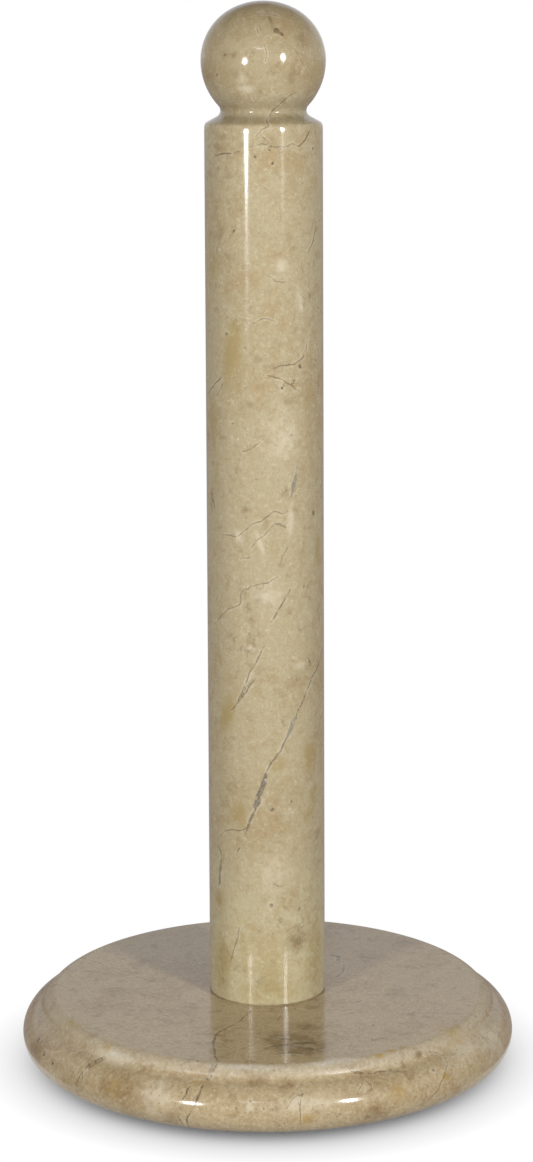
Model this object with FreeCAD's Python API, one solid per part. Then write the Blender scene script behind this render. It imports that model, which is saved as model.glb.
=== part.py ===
import FreeCAD, Part
import math
import os

from FreeCAD import Vector

# Countertop paper towel holder: a turned stone column with a ball finial, stood on a
# round stone base and held from below by a stud and nut. Millimetres, +Z up, the
# origin on the vertical axis at the level the pads rest on.

# ---- driving sizes ---------------------------------------------------------------
overall_height = 326.0       # pad soles to the crown of the ball
base_diameter = 152.4
base_thickness = 18.5
column_diameter = 35.8
ball_diameter = 37.7

# base edge: soft rounded lip at the top, shallow cove below it, full nose under both;
# the angles are those of the surface's outward direction above level
lip_radius = 3.8
lip_angle = 21.0             # where the lip turns into the cove
cove_radius = 3.3
cove_angle = 70.0            # where the cove turns into the nose
nose_upper_radius = 7.9

# column foot, shoulder and neck
foot_chamfer = 0.2
shoulder_angle = 28.5        # degrees below level, falling outwards
shoulder_round = 1.5
shoulder_ease_radius = 20.0  # slow curve from the shaft into the shoulder round
shoulder_ease_angle = 5.0
neck_depth = 4.9             # how far the neck is cut in from the column surface
neck_cove_radius = 2.0

# ball: not quite a sphere
crown_flattening = 1.05      # crown below the top of a true sphere
side_inset = 1.35            # upper side arc smaller than the ball's radius
lower_fullness = 1.3         # lower arc larger than the ball's radius

# joint between column and base
joint_thickness = 0.3
joint_recess = 0.25          # joint material kept back from the column surface
stud_diameter = 8.0
thread_pitch = 1.25
thread_depth = 0.65
thread_crest = 0.38          # flat left on each crest
stud_embedment = 40.0        # length of stud inside the column
bore_wall = 2.0              # resin thickness round the stud
bore_end_gap = 2.0           # resin above the end of the stud
stud_hole_clearance = 0.5    # radial, base hole round the stud

# fastening hardware in the recess under the base
washer_diameter = 16.0
washer_thickness = 1.6
spring_washer_diameter = 14.8
spring_washer_thickness = 2.0
spring_washer_split = 9.0    # degrees left open
nut_across_flats = 13.0
nut_thickness = 6.5
nut_face_inset = 0.2         # chamfer ring in from the flats
nut_chamfer_angle = 30.0
washer_clearance = 0.2       # radial, washers round the stud
thread_clearance = 0.05      # radial, nut round the stud
stud_proud = 0.8             # stud showing below the nut
recess_diameter = 22.0
recess_headroom = 0.9        # stud end up from the underside of the base

# pads
pad_count = 4
pad_diameter = 12.7
pad_height = 1.8
pad_inset = 24.2             # pad centres in from the rim of the base
pad_round = 0.5

# ---- sizes that follow ------------------------------------------------------------
base_radius = base_diameter / 2
column_radius = column_diameter / 2
ball_radius = ball_diameter / 2
stud_radius = stud_diameter / 2
bore_radius = stud_radius + bore_wall
stud_hole_radius = stud_radius + stud_hole_clearance

base_bottom = pad_height
base_top = base_bottom + base_thickness
column_foot = base_top + joint_thickness
recess_depth = (washer_thickness + spring_washer_thickness + nut_thickness
                + stud_proud + recess_headroom)
recess_roof = base_bottom + recess_depth
stud_bottom = base_bottom + recess_headroom
stud_top = column_foot + stud_embedment
bore_top = stud_top + bore_end_gap

lip_sine = math.sin(math.radians(lip_angle))
cove_sine = math.sin(math.radians(cove_angle))
nose_lower_radius = (base_thickness - (nose_upper_radius + cove_radius) * cove_sine
                     + (cove_radius + lip_radius) * lip_sine - lip_radius)

neck_radius = column_radius - neck_depth
cove_centre_radius = neck_radius + neck_cove_radius
lower_radius = ball_radius + lower_fullness
neck_drop = math.sqrt((lower_radius + neck_cove_radius) ** 2
                      - (lower_radius + cove_centre_radius - ball_radius) ** 2)
ball_centre = overall_height - ball_radius + crown_flattening
neck_level = ball_centre - neck_drop


def line(a, b):
    return Part.LineSegment(Vector(a[0], 0, a[1]), Vector(b[0], 0, b[1])).toShape()


def arc(a, centre, radius, mid_angle, b):
    """Arc from a to b round centre, passing the point at mid_angle (degrees)."""
    t = math.radians(mid_angle)
    mid = Vector(centre[0] + radius * math.cos(t), 0, centre[1] + radius * math.sin(t))
    return Part.Arc(Vector(a[0], 0, a[1]), mid, Vector(b[0], 0, b[1])).toShape()


def turn(edges, angle=360.0):
    """Solid of revolution about Z from the edges of a closed half-section."""
    face = Part.Face(Part.Wire(edges))
    solid = face.revolve(Vector(0, 0, 0), Vector(0, 0, 1), angle)
    return solid if solid.isValid() else solid.removeSplitter()


def polygon(points):
    closed = points + [points[0]]
    return [line(a, b) for a, b in zip(closed, closed[1:])]


def ring(inner, outer, bottom, top, angle=360.0):
    return turn(polygon([(inner, bottom), (outer, bottom), (outer, top), (inner, top)]), angle)


def outward(centre, radius, angle):
    """Point at radius from centre in the direction angle, in degrees above level."""
    t = math.radians(angle)
    return (centre[0] + radius * math.cos(t), centre[1] + radius * math.sin(t))


def base_disc():
    """Round slab with an ogee edge, a through hole and a recess for the nut."""
    nose_level = base_bottom + nose_lower_radius
    foot = (base_radius - nose_lower_radius, base_bottom)
    upper_centre = (base_radius - nose_upper_radius, nose_level)
    nose_top = outward(upper_centre, nose_upper_radius, cove_angle)
    cove_centre = outward(upper_centre, nose_upper_radius + cove_radius, cove_angle)
    cove_top = outward(cove_centre, -cove_radius, lip_angle)
    lip_centre = outward(cove_centre, -(cove_radius + lip_radius), lip_angle)
    recess_radius = recess_diameter / 2
    edges = [
        line((recess_radius, base_bottom), foot),
        arc(foot, (foot[0], nose_level), nose_lower_radius, 315, (base_radius, nose_level)),
        arc((base_radius, nose_level), upper_centre, nose_upper_radius,
            cove_angle / 2, nose_top),
        arc(nose_top, cove_centre, cove_radius, 180 + (lip_angle + cove_angle) / 2, cove_top),
        arc(cove_top, lip_centre, lip_radius, (lip_angle + 90) / 2, (lip_centre[0], base_top)),
        line((lip_centre[0], base_top), (stud_hole_radius, base_top)),
        line((stud_hole_radius, base_top), (stud_hole_radius, recess_roof)),
        line((stud_hole_radius, recess_roof), (recess_radius, recess_roof)),
        line((recess_radius, recess_roof), (recess_radius, base_bottom)),
    ]
    return turn(edges)


def column_and_ball():
    """Shaft, shoulder, neck and ball turned as one piece, bored from the foot."""
    slope = math.radians(shoulder_angle)
    # neck cove, concave, its deepest point at neck_level
    cove_centre = (cove_centre_radius, neck_level)
    cove_low = (cove_centre[0] - neck_cove_radius * math.sin(slope),
                neck_level - neck_cove_radius * math.cos(slope))
    # rounded corner under the shoulder's slope, eased into the shaft by a slow curve
    round_x = (column_radius - shoulder_ease_radius
               + (shoulder_ease_radius - shoulder_round)
               * math.cos(math.radians(shoulder_ease_angle)))
    round_z = cove_low[1] - shoulder_round / math.cos(slope) - (
        round_x - cove_low[0]) * math.tan(slope)
    round_centre = (round_x, round_z)
    shoulder_end = outward(round_centre, shoulder_round, 90 - shoulder_angle)
    ease_end = outward(round_centre, shoulder_round, shoulder_ease_angle)
    ease_centre = outward(ease_end, -shoulder_ease_radius, shoulder_ease_angle)
    shaft_top = (column_radius, ease_centre[1])
    # lower arc of the ball: upright at the equator, running smoothly into the cove
    lower_centre = (ball_radius - lower_radius, ball_centre)
    reach = neck_cove_radius / (lower_radius + neck_cove_radius)
    cove_high = (cove_centre[0] + (lower_centre[0] - cove_centre[0]) * reach,
                 neck_level + neck_drop * reach)
    lower_mid = math.degrees(math.atan2(cove_high[1] - ball_centre,
                                        cove_high[0] - lower_centre[0])) / 2
    # upper arcs: a side arc from the equator, then a flatter crown
    crown_height = overall_height - ball_centre
    side_radius = ball_radius - side_inset
    crown_radius = (crown_height ** 2 + side_inset ** 2 - side_radius ** 2) / (
        2 * (crown_height - side_radius))
    crown_centre = (0.0, overall_height - crown_radius)
    crown_slope = math.atan2(ball_centre - crown_centre[1], side_inset)
    crown_edge = (crown_radius * math.cos(crown_slope),
                  crown_centre[1] + crown_radius * math.sin(crown_slope))
    crown_mid = (90 + math.degrees(crown_slope)) / 2

    edges = [
        line((bore_radius, column_foot), (column_radius - foot_chamfer, column_foot)),
        line((column_radius - foot_chamfer, column_foot),
             (column_radius, column_foot + foot_chamfer)),
        line((column_radius, column_foot + foot_chamfer), shaft_top),
        arc(shaft_top, ease_centre, shoulder_ease_radius, shoulder_ease_angle / 2, ease_end),
        arc(ease_end, round_centre, shoulder_round,
            (90 - shoulder_angle + shoulder_ease_angle) / 2, shoulder_end),
        line(shoulder_end, cove_low),
        arc(cove_low, cove_centre, neck_cove_radius, 180, cove_high),
        arc(cove_high, lower_centre, lower_radius, lower_mid, (ball_radius, ball_centre)),
        arc((ball_radius, ball_centre), (side_inset, ball_centre), side_radius,
            math.degrees(crown_slope) / 2, crown_edge),
        arc(crown_edge, crown_centre, crown_radius, crown_mid, (0, overall_height)),
        line((0, overall_height), (0, bore_top)),
        line((0, bore_top), (bore_radius, bore_top)),
        line((bore_radius, bore_top), (bore_radius, column_foot)),
    ]
    return turn(edges)


def bedding_ring():
    """Thin layer the column stands on, set back from the column surface."""
    return ring(stud_hole_radius, column_radius - joint_recess, base_top, column_foot)


def resin_sleeve():
    """Cast filling of the column bore, closed above the stud."""
    return turn(polygon([
        (stud_radius, column_foot), (bore_radius, column_foot), (bore_radius, bore_top),
        (0, bore_top), (0, stud_top), (stud_radius, stud_top)]))


def threaded_stud():
    """Stud with thread grooves along its length."""
    root = stud_radius - thread_depth
    count = int((stud_top - stud_bottom - 2 * thread_depth) / thread_pitch)
    start = stud_bottom + (stud_top - stud_bottom - count * thread_pitch) / 2
    points = [(0, stud_bottom), (root, stud_bottom), (stud_radius, start)]
    for groove in range(count):
        middle = start + (groove + 0.5) * thread_pitch
        flank = (thread_pitch - thread_crest) / 2
        points += [(stud_radius, middle - flank), (root, middle), (stud_radius, middle + flank)]
    points += [(stud_radius, start + count * thread_pitch), (root, stud_top), (0, stud_top)]
    return turn(polygon(points))


def flat_washer():
    top = recess_roof
    return ring(stud_radius + washer_clearance, washer_diameter / 2,
                top - washer_thickness, top)


def spring_washer():
    """Split washer, pressed flat between the flat washer and the nut."""
    top = recess_roof - washer_thickness
    return ring(stud_radius + washer_clearance, spring_washer_diameter / 2,
                top - spring_washer_thickness, top, 360 - spring_washer_split)


def hex_nut():
    """Hexagon nut with its corners chamfered at both faces."""
    top = recess_roof - washer_thickness - spring_washer_thickness
    bottom = top - nut_thickness
    corner = nut_across_flats / math.sqrt(3)
    points = [Vector(corner * math.cos(math.radians(60 * i)),
                     corner * math.sin(math.radians(60 * i)), bottom) for i in range(7)]
    prism = Part.Face(Part.makePolygon(points)).extrude(Vector(0, 0, nut_thickness))
    face_radius = nut_across_flats / 2 - nut_face_inset
    cut = (corner - face_radius) * math.tan(math.radians(nut_chamfer_angle))
    bore = stud_radius + thread_clearance
    envelope = turn(polygon([
        (bore, bottom), (face_radius, bottom), (corner, bottom + cut),
        (corner, top - cut), (face_radius, top), (bore, top)]))
    return prism.common(envelope)


def pad(index):
    """Round pad with a rounded lower rim, one of an even ring under the base."""
    radius = pad_diameter / 2
    edges = [
        line((0, 0), (radius - pad_round, 0)),
        arc((radius - pad_round, 0), (radius - pad_round, pad_round), pad_round, 315,
            (radius, pad_round)),
        line((radius, pad_round), (radius, pad_height)),
        line((radius, pad_height), (0, pad_height)),
        line((0, pad_height), (0, 0)),
    ]
    shape = turn(edges)
    angle = math.radians(360.0 / pad_count * (index + 0.5))
    circle = base_radius - pad_inset
    shape.translate(Vector(circle * math.cos(angle), circle * math.sin(angle), 0))
    return shape


def main():
    pieces = {
        "base": base_disc(),
        "column": column_and_ball(),
        "bedding_ring": bedding_ring(),
        "resin_sleeve": resin_sleeve(),
        "stud": threaded_stud(),
        "washer": flat_washer(),
        "spring_washer": spring_washer(),
        "hex_nut": hex_nut(),
    }
    for index in range(pad_count):
        pieces["pad_%d" % (index + 1)] = pad(index)

    os.makedirs("parts", exist_ok=True)
    for name, shape in pieces.items():
        solid = shape.Solids[0]
        if not solid.isValid():
            raise ValueError("%s is not a sound solid" % name)
        solid.exportStep("parts/%s.step" % name)
        box = solid.optimalBoundingBox()
        print("%-14s %8.1f x %6.1f x %6.1f  from z %.2f  volume %.0f" % (
            name, box.XLength, box.YLength, box.ZLength, box.ZMin, solid.Volume))


main()
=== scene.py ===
import math
import random

import bpy
import numpy as np
from mathutils import Matrix, Vector


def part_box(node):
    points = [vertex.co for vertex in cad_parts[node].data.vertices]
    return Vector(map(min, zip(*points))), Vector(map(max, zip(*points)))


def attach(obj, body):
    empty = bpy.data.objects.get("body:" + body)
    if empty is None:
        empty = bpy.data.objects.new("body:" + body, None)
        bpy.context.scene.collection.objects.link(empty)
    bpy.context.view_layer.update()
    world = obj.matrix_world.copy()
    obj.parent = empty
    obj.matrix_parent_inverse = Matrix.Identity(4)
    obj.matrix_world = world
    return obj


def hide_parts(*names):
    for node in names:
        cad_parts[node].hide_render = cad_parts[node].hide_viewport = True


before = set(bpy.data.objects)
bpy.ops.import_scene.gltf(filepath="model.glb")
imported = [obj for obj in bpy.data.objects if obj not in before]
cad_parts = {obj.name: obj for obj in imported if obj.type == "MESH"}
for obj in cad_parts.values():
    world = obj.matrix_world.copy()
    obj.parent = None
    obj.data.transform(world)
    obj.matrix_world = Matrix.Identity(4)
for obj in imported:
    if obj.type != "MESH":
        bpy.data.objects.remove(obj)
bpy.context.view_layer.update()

# Countertop paper towel holder in polished cream marble. Metres, +Z up, pads' soles at
# zero. Sizes below are in millimetres and are turned into metres where a mesh is made.
MM = 0.001

# longest steps of the half sections, and segments round the axis
STONE_CELL = 0.62            # the column's shaft and ball
FLAT_STEP = 0.8
NOSE_STEP = 0.55
ROUND_STEP = 0.35
EDGE_STEP = 0.3
SHOULDER_STEP = 0.25
SLOPE_STEP = 0.5
UNDERSIDE_STEP = 2.5
JOINT_STEP = 3.0             # faces that close the bore and the joint
BORE_STEP = 7.0
COLUMN_SEGMENTS = 184
BASE_SEGMENTS = 450

# ---- sizes of the turned stone, as the CAD has them ----------------------------------
lip_radius = 3.8
lip_angle = 21.0
cove_radius = 3.3
cove_angle = 70.0
nose_upper_radius = 7.9
foot_chamfer = 0.2
shoulder_angle = 28.5
shoulder_round = 1.5
shoulder_ease_radius = 20.0
shoulder_ease_angle = 5.0
neck_depth = 4.9
neck_cove_radius = 2.0
crown_flattening = 1.05
side_inset = 1.35
lower_fullness = 1.3
column_diameter = 35.8
stud_hole_radius = 4.5
recess_radius = 11.0

base_low, base_high = (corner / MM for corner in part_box("base"))
column_low, column_high = (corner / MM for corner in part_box("column"))
sleeve_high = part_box("resin_sleeve")[1] / MM
washer_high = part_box("washer")[1] / MM

base_radius = base_high.x
base_bottom = base_low.z
base_top = base_high.z
column_foot = column_low.z
overall_height = column_high.z
ball_radius = column_high.x
column_radius = column_diameter / 2
bore_radius = sleeve_high.x
bore_top = sleeve_high.z
recess_roof = washer_high.z

nose_lower_radius = (
    base_top - base_bottom - lip_radius
    - (nose_upper_radius + cove_radius) * math.sin(math.radians(cove_angle))
    + (cove_radius + lip_radius) * math.sin(math.radians(lip_angle)))
neck_radius = column_radius - neck_depth
cove_centre_radius = neck_radius + neck_cove_radius
lower_radius = ball_radius + lower_fullness
neck_drop = math.sqrt((lower_radius + neck_cove_radius) ** 2
                      - (lower_radius + cove_centre_radius - ball_radius) ** 2)
ball_centre = overall_height - ball_radius + crown_flattening
neck_level = ball_centre - neck_drop


# ---- half sections for the lathe -----------------------------------------------------
def straight(section, end, step):
    """Runs the section on in a straight line to end, in steps no longer than step."""
    start = section[-1]
    count = max(1, math.ceil(math.dist(start, end) / step))
    for i in range(1, count + 1):
        section.append((start[0] + (end[0] - start[0]) * i / count,
                        start[1] + (end[1] - start[1]) * i / count))


def round_off(section, centre, radius, start, stop, step):
    """Runs the section on round an arc, start and stop in degrees from level."""
    count = max(2, math.ceil(abs(math.radians(stop - start)) * radius / step))
    for i in range(1, count + 1):
        angle = math.radians(start + (stop - start) * i / count)
        section.append((centre[0] + radius * math.cos(angle),
                        centre[1] + radius * math.sin(angle)))


def outward(centre, radius, angle):
    """Point at radius from centre in the direction angle, in degrees above level."""
    turn = math.radians(angle)
    return (centre[0] + radius * math.cos(turn), centre[1] + radius * math.sin(turn))


def column_section():
    """Shaft, shoulder, neck and ball, with the bore; also where the outside begins."""
    slope = math.radians(shoulder_angle)
    cove_low = (cove_centre_radius - neck_cove_radius * math.sin(slope),
                neck_level - neck_cove_radius * math.cos(slope))
    round_x = (column_radius - shoulder_ease_radius
               + (shoulder_ease_radius - shoulder_round)
               * math.cos(math.radians(shoulder_ease_angle)))
    round_centre = (round_x, cove_low[1] - shoulder_round / math.cos(slope)
                    - (round_x - cove_low[0]) * math.tan(slope))
    ease_end = outward(round_centre, shoulder_round, shoulder_ease_angle)
    ease_centre = outward(ease_end, -shoulder_ease_radius, shoulder_ease_angle)
    join = math.degrees(math.atan2(ball_centre - neck_level,
                                   ball_radius - lower_radius - cove_centre_radius))
    crown_height = overall_height - ball_centre
    side_radius = ball_radius - side_inset
    crown_radius = ((crown_height ** 2 + side_inset ** 2 - side_radius ** 2)
                    / (2 * (crown_height - side_radius)))
    crown_level = overall_height - crown_radius
    crown_slope = math.degrees(math.atan2(ball_centre - crown_level, side_inset))

    section = [(0.0, bore_top)]
    straight(section, (bore_radius, bore_top), JOINT_STEP)
    straight(section, (bore_radius, column_foot), BORE_STEP)
    straight(section, (column_radius - foot_chamfer, column_foot), JOINT_STEP)
    outside = len(section) - 1
    straight(section, (column_radius, column_foot + foot_chamfer), EDGE_STEP)
    straight(section, (column_radius, ease_centre[1]), STONE_CELL)
    round_off(section, ease_centre, shoulder_ease_radius, 0, shoulder_ease_angle, ROUND_STEP)
    round_off(section, round_centre, shoulder_round, shoulder_ease_angle,
              90 - shoulder_angle, SHOULDER_STEP)
    straight(section, cove_low, SLOPE_STEP)
    round_off(section, (cove_centre_radius, neck_level), neck_cove_radius,
              270 - shoulder_angle, join, EDGE_STEP)
    round_off(section, (ball_radius - lower_radius, ball_centre), lower_radius,
              join - 180, 0, STONE_CELL)
    round_off(section, (side_inset, ball_centre), side_radius, 0, crown_slope, STONE_CELL)
    round_off(section, (0.0, crown_level), crown_radius, crown_slope, 90, STONE_CELL)
    return section, outside


def base_section():
    """Disc with lip, cove and nose, stud hole and nut recess; also where its edge ends."""
    nose_level = base_bottom + nose_lower_radius
    upper_centre = (base_radius - nose_upper_radius, nose_level)
    cove_centre = outward(upper_centre, nose_upper_radius + cove_radius, cove_angle)
    lip_centre = outward(cove_centre, -(cove_radius + lip_radius), lip_angle)
    section = [(stud_hole_radius, base_top)]
    straight(section, (lip_centre[0], base_top), FLAT_STEP)
    round_off(section, lip_centre, lip_radius, 90, lip_angle, ROUND_STEP)
    round_off(section, cove_centre, cove_radius, 180 + lip_angle, 180 + cove_angle,
              ROUND_STEP)
    round_off(section, upper_centre, nose_upper_radius, cove_angle, 0, NOSE_STEP)
    round_off(section, (base_radius - nose_lower_radius, nose_level), nose_lower_radius,
              0, -90, NOSE_STEP)
    edge = len(section)
    straight(section, (recess_radius, base_bottom), UNDERSIDE_STEP)
    straight(section, (recess_radius, recess_roof), UNDERSIDE_STEP)
    straight(section, (stud_hole_radius, recess_roof), UNDERSIDE_STEP)
    straight(section, section[0], JOINT_STEP)
    return section, edge

# ---- small helpers -------------------------------------------------------------------
def add_object(name, data):
    """An object with this data, put in the scene."""
    made = bpy.data.objects.new(name, data)
    bpy.context.collection.objects.link(made)
    return made


def socket(tree, name, kind, direction="INPUT", value=None):
    made = tree.interface.new_socket(name=name, in_out=direction,
                                     socket_type="NodeSocket" + kind)
    if value is not None:
        made.default_value = value


class Nodes:
    """Adds nodes to one tree. Inputs are plain values or other nodes' sockets."""

    def __init__(self, tree):
        self.tree = tree

    def feed(self, node, inputs):
        """Sets or links a node's inputs, given by name or by number."""
        for key, value in inputs.items():
            if isinstance(value, bpy.types.NodeSocket):
                self.tree.links.new(value, node.inputs[key])
            else:
                node.inputs[key].default_value = value

    def place(self, kind, inputs=None, **settings):
        made = self.tree.nodes.new(kind)
        for name, value in settings.items():
            setattr(made, name, value)
        self.feed(made, inputs or {})
        return made

    def maths(self, operation, *values):
        return self.place("ShaderNodeMath", dict(enumerate(values)),
                          operation=operation).outputs[0]

    def times(self, first, *others):
        """The product of all the values."""
        for other in others:
            first = self.maths("MULTIPLY", first, other)
        return first

    def vectors(self, operation, *values, output=0):
        return self.place("ShaderNodeVectorMath", dict(enumerate(values)),
                          operation=operation).outputs[output]

    def noise(self, vector, scale, detail=2.0, rough=0.5):
        return self.place("ShaderNodeTexNoise", {
            "Vector": vector, "Scale": scale, "Detail": detail,
            "Roughness": rough}).outputs["Fac"]

    def steps(self, value, low, high, to_low=0.0, to_high=1.0):
        """Smooth step from low to high."""
        return self.place("ShaderNodeMapRange", {
            "Value": value, "From Min": low, "From Max": high, "To Min": to_low,
            "To Max": to_high}, interpolation_type="SMOOTHSTEP").outputs[0]

    def tint(self, amount, under, over, mode="MIX"):
        return self.place("ShaderNodeMix", {0: amount, 6: under, 7: over},
                          data_type="RGBA", blend_type=mode).outputs[2]

    def attribute(self, name):
        return self.place("ShaderNodeAttribute", attribute_name=name).outputs

    def separate(self, vector):
        return self.place("ShaderNodeSeparateXYZ", {0: vector}).outputs

    def drifted(self, vector, scale, detail, stray):
        """The vector, strayed from its place by a soft noise."""
        drift = self.place("ShaderNodeTexNoise", {
            "Vector": vector, "Scale": scale, "Detail": detail}).outputs["Color"]
        centred = self.vectors("SUBTRACT", drift, (0.5, 0.5, 0.5))
        moved = self.place("ShaderNodeVectorMath", {0: centred, "Scale": stray},
                           operation="SCALE").outputs[0]
        return self.vectors("ADD", vector, moved)

    def cells(self, vector, spacing):
        """Scattered cells: the distance from each centre, and each cell's own lots."""
        found = self.place("ShaderNodeTexVoronoi", {
            "Vector": vector, "Scale": self.maths("DIVIDE", 1.0, spacing)},
            feature="F1").outputs
        lots = self.place("ShaderNodeSeparateColor", {0: found["Color"]}).outputs
        return self.times(found["Distance"], spacing), lots

    def effect(self, name, **inputs):
        """One of the shared groups with its values; spaces are written as _."""
        made = self.place("ShaderNodeGroup", node_tree=bpy.data.node_groups[name])
        self.feed(made, {label.replace("_", " "): value for label, value in inputs.items()})
        return made.outputs

    def in_millimetres(self, shift=(0.0, 0.0, 0.0)):
        """Object coordinates in millimetres, moved on through the stone by shift."""
        return self.place("ShaderNodeMapping", {
            "Vector": self.place("ShaderNodeTexCoord").outputs["Object"],
            "Location": shift, "Scale": (1000, 1000, 1000)}).outputs[0]

    def relief(self, shader, strength, distance, height):
        bump = self.place("ShaderNodeBump", {
            "Strength": strength, "Distance": distance, "Height": height})
        self.feed(shader, {"Normal": bump.outputs[0]})

    def seen_directly(self):
        """1 for rays from the camera, from a reflection or through glass, else 0."""
        path = self.place("ShaderNodeLightPath").outputs
        return self.maths("MAXIMUM", self.maths(
            "MAXIMUM", path["Is Camera Ray"], path["Is Glossy Ray"]),
            path["Is Transmission Ray"])


# ---- the lathe: a half section turned round the upright axis --------------------------
def lathe_tree():
    """Geometry Nodes tree that turns a half section into a closed stone blank."""
    tree = bpy.data.node_groups.new("stone_lathe", "GeometryNodeTree")
    socket(tree, "Half section", "Geometry")
    socket(tree, "Segments", "Int", value=180)
    socket(tree, "Weld distance", "Float", value=2e-6)
    socket(tree, "Sharp edge angle", "Float", value=math.radians(32))
    socket(tree, "Stone", "Material")
    socket(tree, "Turned stone", "Geometry", "OUTPUT")
    n = Nodes(tree)
    given = n.place("NodeGroupInput").outputs
    size = n.place("GeometryNodeAttributeDomainSize", {"Geometry": given[0]})
    rings = size.outputs["Point Count"]
    grid = n.place("GeometryNodeMeshGrid", {
        "Vertices X": n.maths("ADD", given["Segments"], 1), "Vertices Y": rings})
    index = n.place("GeometryNodeInputIndex").outputs[0]
    segment = n.maths("FLOOR", n.maths("DIVIDE", n.maths("ADD", index, 0.5), rings))
    ring = n.maths("SUBTRACT", index, n.times(segment, rings))
    position = n.place("GeometryNodeInputPosition").outputs[0]
    sample = n.place("GeometryNodeSampleIndex", {
        "Geometry": given[0], "Value": position, "Index": ring}, data_type="FLOAT_VECTOR")
    turn = n.maths("DIVIDE", n.times(segment, math.tau), given["Segments"])
    swung = n.place("ShaderNodeVectorRotate", {
        "Vector": sample.outputs["Value"], "Angle": turn}, rotation_type="Z_AXIS")
    blank = n.place("GeometryNodeSetPosition", {
        "Geometry": grid.outputs["Mesh"], "Position": swung.outputs[0]})
    welded = n.place("GeometryNodeMergeByDistance", {
        "Geometry": blank.outputs[0], "Distance": given["Weld distance"]})
    smooth = n.place("GeometryNodeSetShadeSmooth", {"Geometry": welded.outputs[0]})
    bend = n.place("GeometryNodeInputMeshEdgeAngle")
    sharp = n.place("FunctionNodeCompare", {
        0: bend.outputs["Unsigned Angle"], 1: given["Sharp edge angle"]},
        operation="GREATER_THAN")
    crisp = n.place("GeometryNodeSetShadeSmooth", {
        "Geometry": smooth.outputs[0], "Selection": sharp.outputs[0],
        "Shade Smooth": False}, domain="EDGE")
    real = n.place("GeometryNodeRealizeInstances", {"Geometry": crisp.outputs[0]})
    coated = n.place("GeometryNodeSetMaterial", {
        "Geometry": real.outputs[0], "Material": given["Stone"]})
    n.place("NodeGroupOutput", {0: coated.outputs[0]})
    return tree


def turned(name, section, segments, stone, lathe):
    """A stone piece turned from its half section, as a plain mesh."""
    mesh = bpy.data.meshes.new(name + "_section")
    points = [(radius * MM, 0, height * MM) for radius, height in section]
    mesh.from_pydata(points, [(i, i + 1) for i in range(len(points) - 1)], [])
    piece = add_object(name, mesh)
    modifier = piece.modifiers.new("lathe", "NODES")
    modifier.node_group = lathe
    settings = {"Segments": segments, "Stone": stone}
    for item in lathe.interface.items_tree:
        if item.in_out == "INPUT" and item.name in settings:
            modifier[item.identifier] = settings[item.name]
    piece.update_tag()
    shaped = piece.evaluated_get(bpy.context.evaluated_depsgraph_get())
    result = bpy.data.meshes.new_from_object(shaped)
    piece.modifiers.clear()
    piece.data = result
    result.name = name
    return piece


# ---- what nature drew on the stone ---------------------------------------------------
# A crack is (half width mm, darkness, points) and its greyness, where it isn't brown.
# Points are (angle, height) on the column and (angle, distance from the centre measured
# over the surface) on the base. Angles are in degrees from the front, to the right.
BROWN, MIXED, GREY = 0.0, 0.45, 1.0

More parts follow.
